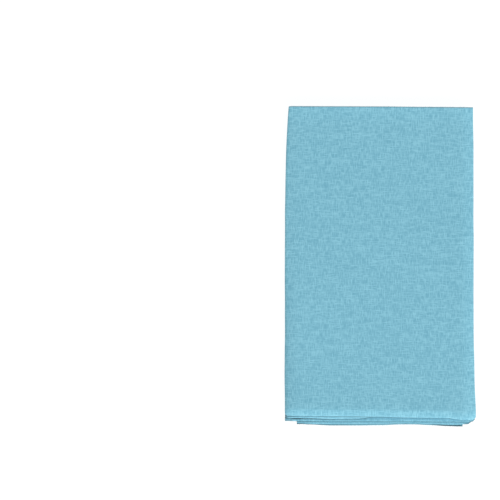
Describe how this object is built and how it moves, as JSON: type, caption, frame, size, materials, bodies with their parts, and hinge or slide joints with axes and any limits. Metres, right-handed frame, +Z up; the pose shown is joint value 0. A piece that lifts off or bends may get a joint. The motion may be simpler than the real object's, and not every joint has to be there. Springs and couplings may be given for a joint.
{
  "type": "folded tenugui towel",
  "caption": "Plain-woven cotton tenugui towel, folded lengthwise into a strip and then laid back and forth into a flat stack with its lower folds stepping out at the foot.",
  "frame": {"origin": "centre of the folded towel's outline, on the surface that it lies on", "axes": "+Y towards the head, where the cut end on top covers the folds; -Y towards the foot, where the folds step out; +Z up out of the top layer"},
  "size_m": [0.1219, 0.2044, 0.0094],
  "materials": {
    "cloth": "matt plain-woven cotton, piece-dyed light blue, slightly slubby"
  },
  "bodies": {
    "root": {"towel": "cloth"}
  },
  "joints": []
}
